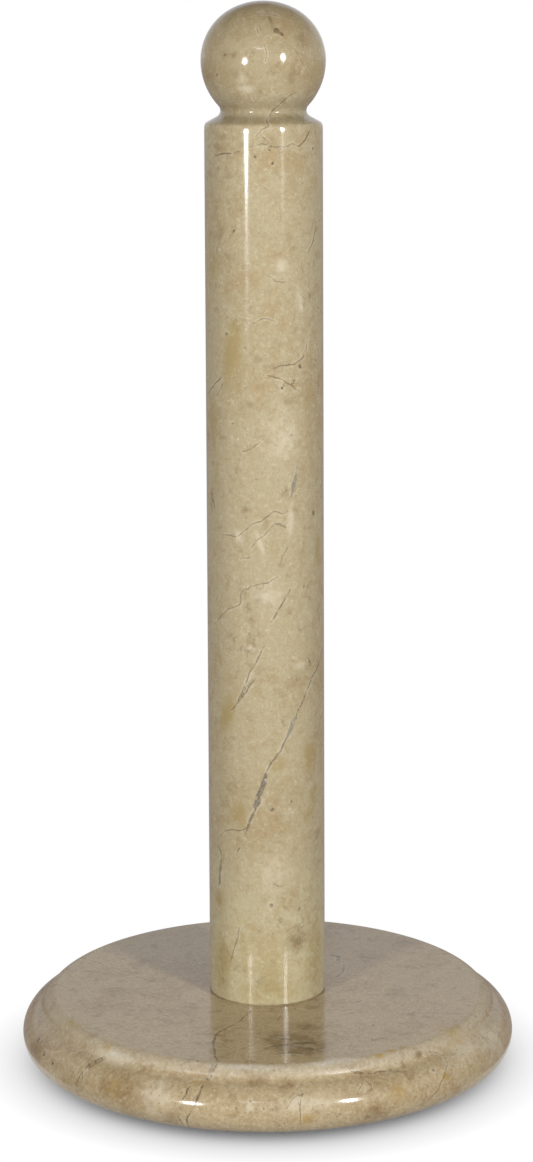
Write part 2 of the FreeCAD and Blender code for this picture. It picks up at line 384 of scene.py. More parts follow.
COLUMN_CRACKS = [
    # the long crack that climbs from the left to the right edge
    (0.24, 0.85, [(73, 129), (64, 125), (53, 122), (42, 117), (37, 114), (31, 111)], 0.35),
    (0.62, 0.6, [(31, 111), (26, 108), (20, 104)], GREY),
    (0.26, 0.85, [(20, 104), (14, 100), (5, 97), (0, 94)], 0.35),
    (0.8, 0.8, [(-1, 93), (-3, 90), (-7, 87), (-11, 82)], 0.55),
    (0.46, 0.75, [(-11, 82), (-16, 79), (-19, 76)], 0.45),
    (0.26, 0.8, [(-19, 76), (-23, 73)], 0.3),
    (0.22, 0.85, [(45, 128), (49, 125)]),
    # its branches near the left edge
    (0.2, 0.75, [(-21, 76), (-28, 75), (-36, 75), (-46, 74), (-52, 72)]),
    (0.26, 0.8, [(-27, 70), (-32, 67)]),
    (0.3, 0.7, [(-57, 69), (-52, 67), (-51, 64)], MIXED),
    (0.62, 0.7, [(-52, 64), (-54, 60), (-56, 56)], 0.75),
    (0.18, 0.6, [(-28, 45), (-33, 39), (-39, 33)]),
    (0.22, 0.55, [(5, 59), (11, 58), (16, 58)], MIXED),
    # grey blade and the lines that run out of it
    (0.22, 0.6, [(33, 188), (31, 185)], GREY),
    (0.62, 0.62, [(31, 185), (28, 181), (26, 178)], GREY),
    (0.18, 0.65, [(23, 174), (16, 173), (9, 174), (0, 172), (-13, 170), (-28, 166),
                  (-48, 166)]),
    (0.46, 0.62, [(20, 169), (14, 170), (8, 170)], 0.25),
    (0.17, 0.6, [(8, 170), (0, 167), (-9, 165), (-15, 162)]),
    (0.17, 0.6, [(-26, 159), (-15, 160)]),
    (0.18, 0.6, [(13, 154), (-1, 152), (-15, 151), (-24, 149), (-26, 145),
                  (-41, 143), (-52, 140), (-64, 137)]),
    (0.17, 0.55, [(22, 163), (18, 161), (13, 157)]),
    (0.24, 0.72, [(25, 150), (15, 145), (5, 140)]),
    (0.22, 0.7, [(-1, 133), (-9, 128), (-17, 124), (-24, 118), (-29, 115)]),
    (0.22, 0.72, [(-10, 123), (-21, 118), (-31, 114), (-37, 112)]),
    (0.2, 0.6, [(-51, 149), (-59, 144)]),
    (0.36, 0.6, [(-67, 178), (-60, 175), (-57, 172)], MIXED),
    (0.18, 0.55, [(-1, 196), (-13, 193), (-23, 192)]),
    (0.18, 0.5, [(-24, 200), (-17, 198)]),
    # upper shaft
    (0.2, 0.6, [(2, 215), (14, 214), (26, 212), (37, 209)]),
    (0.26, 0.78, [(-46, 214), (-58, 211), (-71, 208)]),
    (0.22, 0.65, [(-44, 212), (-54, 208)]),
    (0.22, 0.62, [(46, 225), (44, 222), (41, 220), (30, 218), (16, 218), (8, 217)]),
    (0.18, 0.62, [(-16, 230), (-8, 231), (-3, 232), (4, 232), (11, 231)]),
    (0.17, 0.52, [(-42, 235), (-34, 233), (-26, 231)]),
    (0.19, 0.62, [(3, 245), (11, 243), (22, 243)]),
    (0.24, 0.72, [(61, 259), (54, 254), (47, 251)]),
    (0.21, 0.74, [(-56, 280), (-38, 281), (-30, 281), (-22, 282)]),
    (0.17, 0.66, [(-15, 283), (-1, 284), (8, 283), (15, 283), (22, 283), (28, 284)]),
    (0.21, 0.8, [(28, 284), (36, 283), (44, 285), (49, 287), (54, 289)]),
    (0.17, 0.58, [(8, 283), (18, 281)]),
    (0.17, 0.55, [(-1, 286), (8, 284)]),
    # neck and ball
    (0.19, 0.72, [(38, 299), (29, 298), (22, 296), (14, 294), (8, 292), (3, 291),
                  (5, 289), (-2, 288), (-8, 286)]),
    (0.19, 0.66, [(1, 313), (3, 310), (2, 308)]),
    (0.17, 0.6, [(-7, 318), (-4, 316)]),
    (0.4, 0.34, [(-6, 322), (9, 322), (24, 321)]),
    (0.17, 0.42, [(30, 312), (37, 308), (46, 304)]),
    # sides and back
    (0.3, 0.8, [(73, 128), (84, 133), (96, 136), (104, 142), (118, 145)], 0.3),
    (0.2, 0.7, [(104, 142), (110, 137), (121, 134)]),
    (0.22, 0.7, [(-71, 208), (-84, 204), (-92, 205), (-108, 199), (-121, 198)]),
    (0.52, 0.62, [(-134, 96), (-138, 90), (-141, 84)], GREY),
    (0.22, 0.75, [(-118, 112), (-127, 105), (-134, 96)], MIXED),
    (0.2, 0.72, [(-141, 84), (-150, 77), (-158, 74), (-163, 68)]),
    (0.2, 0.62, [(142, 236), (156, 239), (171, 238), (189, 243), (204, 242)]),
    (0.19, 0.58, [(160, 176), (174, 171), (181, 172), (198, 166), (214, 165)]),
    (0.22, 0.7, [(92, 212), (101, 206), (112, 203)]),
    (0.24, 0.72, [(176, 128), (186, 119), (193, 115), (201, 106)]),
    (0.18, 0.6, [(150, 58), (163, 54), (171, 55)]),
    (0.2, 0.66, [(84, 71), (90, 63), (99, 59), (106, 50)]),
    (0.2, 0.62, [(170, 288), (176, 283), (188, 281), (203, 282)]),
    (0.18, 0.6, [(152, 312), (170, 309), (184, 310)]),
    (0.18, 0.6, [(-96, 305), (-104, 311), (-119, 313)]),
    (0.2, 0.62, [(118, 266), (129, 262), (134, 257), (146, 255)]),
    (0.2, 0.62, [(-98, 262), (-108, 258), (-125, 259), (-136, 254)]),
]

# A spot is (half width mm, darkness, greyness, place).
COLUMN_SPOTS = [
    (0.26, 0.84, 0.0, (6, 282)), (0.34, 0.89, 0.0, (-8, 280)), (0.36, 0.86, 0.0, (8, 278)),
    (0.38, 0.74, 0.0, (-30, 258)), (0.55, 0.64, 0.0, (54, 172)), (0.4, 0.74, 0.0, (55, 282)),
    (0.42, 0.79, 0.1, (-39, 227)), (0.32, 0.74, 0.1, (-18, 223)), (0.38, 0.86, 0.1, (36, 217)),
    (0.38, 0.89, 0.2, (17, 211)), (0.32, 0.79, 0.2, (29, 213)), (0.45, 0.74, 0.3, (5, 82)),
    (0.36, 0.64, 0.1, (25, 84)), (0.55, 0.6, 0.0, (4, 52)), (0.45, 0.58, 0.0, (33, 50)),
    (0.8, 0.8, 0.1, (14, 317)), (0.5, 0.8, 0.1, (19, 316)), (0.38, 0.74, 0.0, (-48, 304)),
    (0.36, 0.64, 0.0, (-37, 310)), (0.34, 0.74, 0.1, (-33, 200)), (0.36, 0.64, 0.0, (40, 150)),
    (0.4, 0.74, 0.1, (130, 187)), (0.4, 0.74, 0.0, (168, 208)), (0.46, 0.76, 0.1, (-150, 150)),
]

BASE_CRACKS = [
    # from the foot of the column out over the lip and down the nose
    (0.22, 0.72, [(-13, 20), (-14, 26), (-17, 35)]),
    (0.34, 0.85, [(-17, 35), (-20, 42), (-20, 46), (-18, 52), (-16, 57), (-13, 65)]),
    (0.2, 0.75, [(-13, 65), (-14, 68), (-15, 72)], GREY),
    (0.2, 0.75, [(-12, 65), (-13, 68), (-14, 72)]),
    (0.4, 0.85, [(-15, 74), (-16, 80)]),
    (0.36, 0.85, [(-18, 75), (-19, 79)]),
    (0.24, 0.75, [(-17, 82), (-18, 85), (-18, 89)]),
    (0.2, 0.7, [(-20, 84), (-19, 89)]),
    (0.2, 0.66, [(-3, 48), (-8, 54), (-12, 60)]),
    (0.17, 0.5, [(4, 50), (-1, 55), (-6, 58)]),
    (0.2, 0.5, [(10, 24), (6, 30), (-1, 33)]),
    # a pair of hairlines below the rusty spot on the left
    (0.2, 0.74, [(-44, 71), (-46, 75), (-47, 79), (-48, 83), (-48, 87)]),
    (0.18, 0.62, [(-43, 71), (-45, 76), (-46, 80)]),
    # right half of the edge
    (0.18, 0.66, [(20, 70), (23, 71), (22, 75), (20, 78)]),
    (0.17, 0.6, [(23, 74), (24, 76), (23, 78)]),
    (0.19, 0.62, [(21, 71), (26, 72), (31, 72)]),
    (0.19, 0.62, [(8, 75), (7, 79), (7, 82), (7, 85)]),
    (0.17, 0.45, [(4, 80), (6, 77), (8, 75)]),
    (0.18, 0.66, [(43, 70), (46, 71), (47, 73), (46, 76), (44, 78), (42, 80),
                  (41, 82), (38, 84)]),
    # dark strokes on the flat
    (0.6, 0.66, [(137, 33), (140, 36), (145, 36)], MIXED),
    (0.28, 0.62, [(108, 21), (118, 27), (131, 32)], MIXED),
    (0.65, 0.52, [(45, 35), (49, 35)], MIXED),
    (0.55, 0.55, [(61, 31), (66, 32)], MIXED),
    (0.45, 0.55, [(-52, 40), (-47, 40)]), (0.4, 0.5, [(-38, 53), (-34, 52)]),
    (0.4, 0.5, [(-75, 38), (-70, 38)]), (0.36, 0.5, [(-80, 56), (-77, 55)]),
    (0.4, 0.5, [(73, 48), (77, 49)]), (0.34, 0.5, [(58, 55), (61, 54)]),
    # streaks inside the brown patch in front of the column
    (0.9, 0.68, [(-1, 53), (4, 51), (10, 50), (16, 51)]),
    (0.7, 0.62, [(1, 44), (7, 46), (10, 49)]),
    (1.0, 0.68, [(9, 53), (13, 55), (16, 58)]),
    (0.7, 0.62, [(2, 58), (7, 57), (11, 59)]),
    # sides and back
    (0.28, 0.72, [(148, 24), (156, 33), (158, 42), (165, 51), (166, 60), (168, 66)]),
    (0.22, 0.7, [(168, 66), (168, 72), (170, 79), (169, 86)]),
    (0.22, 0.6, [(-96, 34), (-104, 43), (-106, 50), (-113, 58), (-115, 66),
                  (-114, 74), (-117, 82)]),
    (0.22, 0.62, [(92, 64), (94, 70), (93, 76), (96, 84)]),
    (0.36, 0.7, [(-150, 74), (-152, 79)], MIXED),
    (0.2, 0.62, [(-168, 50), (-174, 56), (-185, 60)]),
    (0.2, 0.6, [(120, 72), (126, 74), (133, 73), (137, 78)]),
]

BASE_SPOTS = [
    (0.34, 0.5, 0.0, (-4, 78)), (0.3, 0.5, 0.0, (-1, 80)), (0.32, 0.5, 0.0, (-7, 80)),
    (0.38, 0.6, 0.0, (41, 76)), (0.45, 0.5, 0.0, (38, 80)), (0.7, 0.8, 0.0, (-63, 79)),
    (0.55, 0.75, 0.0, (-69, 77)), (0.55, 0.75, 0.0, (-58, 80)), (0.42, 0.55, 0.0, (-31, 51)),
    (0.4, 0.45, 0.1, (-54, 50)), (0.45, 0.6, 0.0, (-18, 66)), (0.4, 0.5, 0.0, (128, 48)),
    (0.4, 0.5, 0.0, (-140, 79)),
]

# A stain is (strength, half width mm, half height mm, lean, place), listed by its kind;
# lean in degrees turns its long way from upright to the right.
RUST, UMBER, PALE = 0, 1, 2
COLUMN_STAINS = {
    RUST: [
        (0.7, 3.2, 11, 6, (-33, 222)), (0.45, 2.5, 8, 0, (-62, 200)),
        (0.35, 3.0, 8, 0, (-60, 246)), (0.75, 2.6, 6, 20, (-42, 111)),
        (0.6, 3.5, 6, 0, (49, 97)), (0.5, 2.8, 2.6, 0, (12, 96)),
        (0.6, 3.6, 4.5, 30, (-28, 80)), (0.5, 2.2, 4, 0, (54, 85)),
        (0.55, 2.0, 6, 0, (63, 160)), (0.45, 3.5, 3, 0, (44, 79)),
        (0.45, 3.0, 5, 0, (-55, 52)), (0.4, 9.0, 7, 0, (4, 26)),
        # the two wide patches at the foot's sides, (-52, 32) and (56, 34), are painted warm
        # light bounced up from the base, laid in the rust colour
        (0.42, 4.5, 12, 0, (-52, 32)), (0.45, 4.5, 14, 0, (56, 34)),
        (0.4, 4, 8, 0, (-60, 313)), (0.32, 4, 6, 0, (62, 307)),
        (0.55, 5, 10, 10, (120, 120)), (0.5, 4, 9, -8, (-120, 60)),
        (0.45, 6, 8, 0, (180, 240)),
    ],
    UMBER: [
        (0.55, 3.6, 3.4, 0, (31, 40)), (0.4, 1.8, 1.6, 0, (-20, 174)),
        (0.5, 1.0, 1.2, 0, (54, 172)), (0.35, 2.0, 5, 10, (-64, 176)),
        (0.35, 2.0, 2.0, 0, (-17, 122)), (0.3, 2.5, 2.5, 0, (29, 122)),
        (0.4, 2.4, 3.2, 15, (29, 304)), (0.35, 1.8, 2.0, 0, (-37, 310)),
        (0.4, 3.0, 3, 0, (40, 314)), (0.5, 1.6, 1.4, 0, (-27, 310)),
        (0.55, 4.5, 0.7, 80, (8, 321)), (0.3, 2.2, 1.8, 0, (-24, 304)),
        (0.32, 5, 4, 0, (-66, 303)), (0.3, 2.2, 3.5, 0, (-14, 141)),
        (0.3, 1.5, 2.0, 0, (24, 143)), (0.35, 1.4, 4.0, 20, (-46, 257)),
        (0.25, 4, 3, 0, (-4, 146)), (0.4, 4, 4, 0, (150, 92)), (0.4, 3, 5, 0, (-110, 180)),
    ],
    PALE: [
        (0.3, 2.0, 3.5, 35, (-20, 303)), (0.5, 1.2, 6.0, 4, (25, 171)),
        (0.95, 0.55, 0.8, 0, (-1, 91)), (0.7, 1.3, 0.8, 20, (-14, 132)),
        (0.6, 0.9, 3.0, 35, (-18, 122)), (0.9, 0.5, 0.5, 0, (-48, 252)),
        (0.55, 1.2, 3.5, -10, (37, 237)), (0.5, 2.6, 2.2, 0, (17, 248)),
        (0.6, 2.5, 1.4, 60, (-27, 166)), (0.55, 4.5, 0.9, 70, (-5, 164)),
        (0.45, 5, 5, 0, (2, 148)), (0.45, 3.0, 1.6, 0, (34, 126)), (0.4, 6, 7, 0, (8, 62)),
        (0.4, 6, 9, 0, (18, 196)), (0.5, 2.5, 1.6, 0, (-18, 300)),
        (0.5, 6, 8, 0, (165, 150)), (0.5, 5, 9, 10, (-150, 215)),
        (0.5, 2, 6, 30, (-134, 100)),
    ],
}

BASE_STAINS = {
    RUST: [
        (1.0, 1.3, 1.3, 0, (-44, 69)), (0.32, 6, 4, 0, (-36, 79)),
        (0.7, 1.0, 0.9, 0, (-17, 73)), (0.95, 1.3, 1.0, 0, (29, 67)),
        (0.95, 1.2, 0.9, 0, (33, 66)), (0.8, 1.1, 0.9, 0, (37, 66)),
        (0.95, 1.1, 1.1, 0, (44, 79)), (0.5, 3.0, 1.8, 0, (8, 83)),
        (0.45, 2.0, 1.6, 0, (-24, 82)), (0.4, 4, 6, 0, (55, 66)),
        (0.45, 5, 2.5, 0, (-62, 66)), (0.35, 4, 3, 0, (30, 79)),
        (0.6, 2, 1.6, 0, (150, 67)), (0.45, 8, 8, 0, (160, 44)),
    ],
    UMBER: [
        (1.0, 7.5, 10, 20, (9, 50)), (0.45, 6, 6, 0, (16, 38)), (0.48, 8, 5, 0, (-36, 79)),
        (0.42, 4.0, 2.4, 0, (-3, 72)), (0.34, 3.0, 2.2, 0, (4, 73)),
        (0.8, 1.4, 1.1, 0, (40, 70)), (0.45, 6, 4, 0, (-68, 80)),
        (0.35, 4, 3, 0, (-22, 85)), (0.45, 5, 3, 0, (24, 84)), (0.35, 6, 4, 0, (64, 78)),
        (0.3, 6, 5, 30, (-85, 48)), (0.3, 8, 4, 0, (80, 40)), (0.4, 9, 5, 0, (-130, 79)),
        (0.4, 8, 5, 0, (130, 80)),
    ],
    PALE: [
        (0.65, 1.8, 0.9, 60, (-4, 80)), (0.55, 9, 2.5, 0, (-41, 71)),
        (0.55, 8, 2.0, 0, (17, 66)), (0.5, 6, 6, 0, (-25, 79)), (0.5, 9, 6, 0, (66, 77)),
        (0.4, 9, 4, 0, (-60, 84)), (0.5, 10, 3.0, 0, (8, 79)), (0.55, 8, 3.0, 0, (55, 74)),
        (0.9, 0.5, 0.5, 0, (32, 78)), (0.45, 12, 1.5, 0, (-5, 67)),
        (0.5, 9, 4, 0, (180, 74)), (0.5, 9, 4, 0, (95, 78)),
    ],
}


class Surface:
    """Turns a maker's measure (angle, mark) into a place on the turned surface."""

    def __init__(self, outer, marks):
        self.radii, self.heights, self.marks = outer[:, 0], outer[:, 1], marks

    def point(self, angle, mark):
        radius = np.interp(mark, self.marks, self.radii)
        height = np.interp(mark, self.marks, self.heights)
        turn = math.radians(angle)
        return np.array([radius * math.sin(turn), -radius * math.cos(turn), height])

    def radius(self, mark):
        return float(np.interp(mark, self.marks, self.radii))


WANDER_STEP = 1.3            # length of one straight bit of a crack
WANDER_STRAY = 0.16          # how far its points stray
NARROWEST_TURN = 4.0         # a stray turns no faster than on this radius
TIP_WIDTH, TIP_GROWTH = 0.45, 0.3
THINNEST, THICKEST = 0.75, 1.25
SPOT_LEAN, SPOT_HEIGHT = 0.4, 0.25
NO_CRACK = 30.0              # distance written where no crack is nearer
STAIN_DEPTH = 2.5            # into the stone, against the longer half size
TAPE_REACH = 9.0             # faces deeper than this inside the stone are not measured


def wander(surface, points, dice):
    """Extra points along a crack, each strayed a little, so that it runs like a crack."""
    places = []
    for (angle_a, mark_a), (angle_b, mark_b) in zip(points, points[1:]):
        across = math.radians(angle_b - angle_a) * surface.radius((mark_a + mark_b) / 2)
        count = max(1, round(math.hypot(across, mark_b - mark_a) / WANDER_STEP))
        for i in range(count):
            share = i / count
            radius = max(NARROWEST_TURN, surface.radius(mark_a))
            off = dice.gauss(0, WANDER_STRAY) if i else 0.0
            off_mark = dice.gauss(0, WANDER_STRAY) if i else 0.0
            places.append((angle_a + (angle_b - angle_a) * share + math.degrees(off / radius),
                           mark_a + (mark_b - mark_a) * share + off_mark))
    places.append(points[-1])
    return [surface.point(angle, mark) for angle, mark in places]


def store(mesh, name, kind, values):
    """Keeps one value or vector for each vertex."""
    field = "vector" if kind == "FLOAT_VECTOR" else "value"
    layer = mesh.attributes.new(name, kind, "POINT")
    layer.data.foreach_set(field, values.astype(np.float32).ravel())


def draw_cracks(mesh, surface, cracks, spots, seed):
    """Stores at every vertex how to reach the nearest crack, and that crack's ink."""
    count = len(mesh.vertices)
    flat = np.empty(count * 3)
    mesh.vertices.foreach_get("co", flat)
    vertices = flat.reshape(-1, 3) / MM
    nearest = np.full(count, NO_CRACK)
    reach = np.zeros((count, 3))
    reach[:, 2] = NO_CRACK
    ink = np.zeros((count, 3))
    dice = random.Random(seed)
    strokes = []
    for half_width, dark, points, *tone in cracks:
        grey = tone[0] if tone else BROWN
        places = wander(surface, points, dice)
        last = len(places) - 1
        for i in range(last):
            taper = [min(1.0, TIP_WIDTH + TIP_GROWTH * min(end, last - end))
                     for end in (i, i + 1)]
            swell = dice.uniform(THINNEST, THICKEST)
            strokes.append((places[i], places[i + 1], half_width * swell, taper, dark, grey))
    for half_width, dark, grey, (angle, mark) in spots:
        lean = dice.uniform(-SPOT_LEAN, SPOT_LEAN)
        start = surface.point(angle, mark)
        end = surface.point(angle + math.degrees(lean / surface.radius(mark)),
                            mark + SPOT_HEIGHT)
        strokes.append((start, end, half_width, (1.0, 1.0), dark, grey))
    for start, end, half_width, taper, dark, grey in strokes:
        along = end - start
        length = float(along @ along) or 1e-9
        share = np.clip(((vertices - start) @ along) / length, 0, 1)
        offset = start + share[:, None] * along - vertices
        distance = np.sqrt((offset ** 2).sum(axis=1))
        closer = distance < nearest
        nearest[closer] = distance[closer]
        reach[closer] = offset[closer]
        ink[closer, 0] = half_width * (taper[0] + (taper[1] - taper[0]) * share[closer])
        ink[closer, 1] = dark
        ink[closer, 2] = grey
    store(mesh, "crack_reach", "FLOAT_VECTOR", reach)
    store(mesh, "crack_distance", "FLOAT", nearest)
    store(mesh, "crack_ink", "FLOAT_VECTOR", ink)
    return vertices


def lay_stains(mesh, surface, stains, vertices):
    """Stores at every vertex how much rust, umber and pale the stone has there."""
    amount = np.zeros((len(vertices), 3))
    for kind, patches in stains.items():
        for strength, half_width, half_height, lean, (angle, mark) in patches:
            turn = math.radians(angle)
            across = np.array([math.cos(turn), math.sin(turn), 0.0])
            upward = surface.point(angle, mark + 0.5) - surface.point(angle, mark - 0.5)
            upward /= np.linalg.norm(upward)
            tilt = math.radians(lean)
            wide = across * math.cos(tilt) - upward * math.sin(tilt)
            tall = across * math.sin(tilt) + upward * math.cos(tilt)
            through = np.cross(across, upward)
            off = vertices - surface.point(angle, mark)
            size = ((off @ wide / half_width) ** 2 + (off @ tall / half_height) ** 2
                    + (off @ through / (STAIN_DEPTH * max(half_width, half_height))) ** 2)
            amount[:, kind] = np.maximum(amount[:, kind], strength * np.exp(-size))
    store(mesh, "stains", "FLOAT_VECTOR", amount)


def measure_tape(mesh, vertices, outer, tape):
    """Stores how far each vertex lies from the axis, measured over the surface, in mm."""
    radii = np.hypot(vertices[:, 0], vertices[:, 1])
    best = np.full(len(vertices), TAPE_REACH)
    marks = np.zeros(len(vertices))
    for (radius, height), mark in zip(outer, tape):
        away = np.hypot(radii - radius, vertices[:, 2] - height)
        closer = away < best
        best[closer] = away[closer]
        marks[closer] = mark
    store(mesh, "tape", "FLOAT", marks)


# ---- shader groups -------------------------------------------------------------------
def group(name, inputs, outputs):
    """A new shader group: its nodes, its inputs (no value means a vector), its output."""
    tree = bpy.data.node_groups.new(name, "ShaderNodeTree")
    for label, value in inputs.items():
        kind = "Vector" if value is None else "Color" if isinstance(value, tuple) else "Float"
        socket(tree, label, kind, value=value)
    for label in outputs:
        socket(tree, label, "Color" if label == "Color" else "Float", "OUTPUT")
    n = Nodes(tree)
    return n, n.place("NodeGroupInput").outputs, n.place("NodeGroupOutput")


def stone_clouds():
    """The soft body of the stone: clouds, mottling and a fine sugary grain."""
    n, given, out = group("stone_clouds", {
        "Vector": None, "Body": (0.5, 0.4, 0.25, 1), "Pale": (0.6, 0.5, 0.35, 1),
        "Tan": (0.4, 0.3, 0.15, 1), "Cloud scale": 0.05, "Mottle scale": 0.25,
        "Mottle": 0.6, "Grain scale": 1.4, "Grain": 0.2, "Blotch": 0.4,
        "Silt": (0.25, 0.18, 0.09, 1)}, ("Color", "Clouds"))
    at = given["Vector"]
    bent = n.drifted(at, 0.12, 2.0, 9.0)
    big = n.noise(bent, given["Cloud scale"], 3.0, 0.55)
    middle = n.noise(bent, given["Mottle scale"], 4.0, 0.6)
    small = n.noise(at, n.times(given["Mottle scale"], 2.6), 4.0, 0.62)
    grain = n.noise(at, given["Grain scale"], 2.0, 0.6)
    mixed = n.maths("ADD", n.times(big, 0.55), n.times(middle, 0.45))
    body = n.tint(n.steps(mixed, 0.36, 0.54), given["Tan"], given["Body"])
    cream = n.times(n.steps(small, 0.50, 0.66), given["Mottle"])
    body = n.tint(cream, body, given["Pale"])
    shade = n.times(n.steps(small, 0.46, 0.30), given["Mottle"], 0.75)
    body = n.tint(shade, body, given["Tan"])
    apart = n.vectors("ADD", bent, (40.0, 11.0, 5.0))
    blotch = n.steps(n.noise(apart, 0.21, 4.0, 0.6), 0.55, 0.72)
    body = n.tint(n.times(blotch, given["Blotch"]), body, given["Silt"])
    speckle = n.maths("MULTIPLY_ADD", n.maths("SUBTRACT", grain, 0.5), given["Grain"], 1.0)
    grey = n.place("ShaderNodeCombineColor", {0: speckle, 1: speckle, 2: speckle})
    n.feed(out, {"Color": n.tint(1.0, body, grey.outputs[0], "MULTIPLY"), "Clouds": mixed})


def crack_ink():
    """Reads the drawn cracks: the dark line, how grey it is, and a pale edge beside it."""
    n, given, out = group("crack_ink", {
        "Vector": None, "Cell": 0.5, "Ragged": 0.25, "Soft edge": 0.16},
        ("Line", "Grey", "Edge"))
    at, soft = given["Vector"], given["Soft edge"]
    width, dark, grey = n.separate(n.attribute("crack_ink")["Vector"])
    straight_line = n.vectors("LENGTH", n.attribute("crack_reach")["Vector"], output=1)
    guard = n.maths("SUBTRACT", n.attribute("crack_distance")["Fac"], given["Cell"])
    distance = n.maths("MAXIMUM", straight_line, guard)
    rag = n.maths("SUBTRACT", n.noise(at, 1.1, 3.0, 0.6), 0.5)
    near = n.maths("MULTIPLY_ADD", rag, given["Ragged"], distance)
    outer = n.maths("ADD", width, soft)
    inner = n.maths("MAXIMUM", n.maths("SUBTRACT", width, soft), 0.0)
    line = n.steps(near, inner, outer, 1.0, 0.0)
    gaps = n.steps(n.noise(at, 0.55, 2.0, 0.5), 0.34, 0.50, 0.35, 1.0)
    fill = n.steps(n.noise(at, 2.0, 3.0, 0.6), 0.34, 0.60, 0.62, 1.0)
    edge = n.steps(near, n.times(outer, 3.2), outer)
    edge = n.times(edge, n.steps(n.noise(at, 0.3, 2.0, 0.5), 0.46, 0.60))
    n.feed(out, {"Line": n.times(line, dark, gaps, fill), "Grey": grey, "Edge": edge})


def stain_marks():
    """Reads the laid stains and breaks them up, so that none has a clean outline."""
    kinds = ("Rust", "Umber", "Pale")
    n, given, out = group("stain_marks", {"Vector": None, "Break up": 0.9}, kinds)
    laid = n.separate(n.attribute("stains")["Vector"])
    for number, (label, amount) in enumerate(zip(kinds, laid)):
        apart = n.vectors("ADD", given["Vector"], (number * 31.0, 0, 7.0))
        torn = n.maths("SUBTRACT", n.noise(apart, 0.42, 5.0, 0.62), 0.5)
        inside = n.maths("MINIMUM", n.times(amount, 3.0), 1.0)
        raised = n.maths("ADD", amount, n.times(n.times(torn, given["Break up"]), inside))
        n.feed(out, {label: n.steps(raised, 0.02, 0.65)})


def hairlines():
    """Fine natural cracks that run anywhere in the stone, here and there."""
    n, given, out = group("hairlines", {
        "Vector": None, "Spacing": 14.0, "Width": 0.10, "Coverage": 0.55}, ("Line",))
    at = given["Vector"]
    leant = n.place("ShaderNodeMapping", {
        "Vector": n.drifted(at, 0.16, 3.0, 12.0), "Rotation": (0.35, 0.75, 0.2),
        "Scale": (1.0, 1.0, 0.55)}).outputs[0]
    to_edge = n.place("ShaderNodeTexVoronoi", {
        "Vector": leant, "Scale": n.maths("DIVIDE", 1.0, given["Spacing"])},
        feature="DISTANCE_TO_EDGE").outputs["Distance"]
    line = n.steps(n.times(to_edge, given["Spacing"]), n.times(given["Width"], 2.2), 0.0)
    shown = n.steps(n.noise(at, 0.07, 2.0, 0.5), given["Coverage"],
                    n.maths("ADD", given["Coverage"], 0.06))
    broken = n.steps(n.noise(at, 0.35, 2.0, 0.5), 0.42, 0.56)
    n.feed(out, {"Line": n.times(line, shown, broken)})


def filigree():
    """Thin wandering lines of silt that follow the bedding, in patches."""
    n, given, out = group("filigree", {
        "Vector": None, "Scale": 0.15, "Turns": 6.0, "Width": 0.09, "Coverage": 0.48},
        ("Line",))
    flattened = n.place("ShaderNodeMapping", {
        "Vector": given["Vector"], "Rotation": (0.3, 0.2, 0.0), "Scale": (0.7, 0.7, 1.5)})
    field = n.noise(flattened.outputs[0], given["Scale"], 4.0, 0.55)
    bedding = n.maths("FRACT", n.times(field, given["Turns"]))
    line = n.steps(n.maths("ABSOLUTE", n.maths("SUBTRACT", bedding, 0.5)),
                   given["Width"], 0.0)
    shown = n.steps(n.noise(given["Vector"], 0.10, 3.0, 0.6), given["Coverage"],
                    n.maths("ADD", given["Coverage"], 0.10))
    n.feed(out, {"Line": n.times(line, shown)})


def specks():
    """Small dark grains and pale flecks, round or a little torn."""
    n, given, out = group("specks", {
        "Vector": None, "Spacing": 2.4, "Dark share": 0.2, "Pale share": 0.1, "Size": 0.3},
        ("Dark", "Pale"))
    apart, lots = n.cells(n.drifted(given["Vector"], 1.3, 2.0, 0.8), given["Spacing"])
    size = n.times(given["Size"], n.maths("MULTIPLY_ADD", lots[1], 1.1, 0.5))
    dot = n.steps(apart, n.times(size, 0.55), size, 1.0, 0.0)
    dark = n.maths("LESS_THAN", lots[0], given["Dark share"])
    pale = n.maths("GREATER_THAN", lots[0], n.maths("SUBTRACT", 1.0, given["Pale share"]))
    n.feed(out, {"Dark": n.times(dot, dark), "Pale": n.times(dot, pale)})


def fossil_marks():
    """Pale curls and part rings left by small shells."""
    n, given, out = group("fossil_marks", {
        "Vector": None, "Spacing": 9.0, "Share": 0.4, "Width": 0.3}, ("Curl",))
    at, spacing = given["Vector"], given["Spacing"]
    apart, lots = n.cells(n.drifted(at, 0.35, 3.0, 3.2), spacing)
    rim = n.times(n.maths("MULTIPLY_ADD", lots[1], 0.30, 0.16), spacing)
    off_rim = n.maths("ABSOLUTE", n.maths("SUBTRACT", apart, rim))
    ring = n.steps(off_rim, given["Width"], 0.0)
    chosen = n.maths("LESS_THAN", lots[0], given["Share"])
    part = n.steps(n.noise(at, 0.5, 3.0, 0.6), 0.46, 0.58)
    n.feed(out, {"Curl": n.times(ring, chosen, part)})


for make_group in (stone_clouds, crack_ink, stain_marks, hairlines, filigree, specks,
                   fossil_marks):
    make_group()


# ---- materials -----------------------------------------------------------------------
def empty_material(name):
    made = bpy.data.materials.new(name)
    made.use_nodes = True
    made.node_tree.nodes.clear()
    return made, Nodes(made.node_tree)


def material(name):
    """A material with its nodes and its shader."""
    made, n = empty_material(name)
    shader = n.place("ShaderNodeBsdfPrincipled")
    n.place("ShaderNodeOutputMaterial", {"Surface": shader.outputs[0]})
    return made, n, shader


CRACK_BROWN = (0.078, 0.052, 0.027, 1)
CRACK_GREY = (0.125, 0.135, 0.140, 1)
PALE_CREAM = (0.64, 0.575, 0.44, 1)
STONE_IOR = 1.36             # low, as the seal coat on the stone dulls its shine


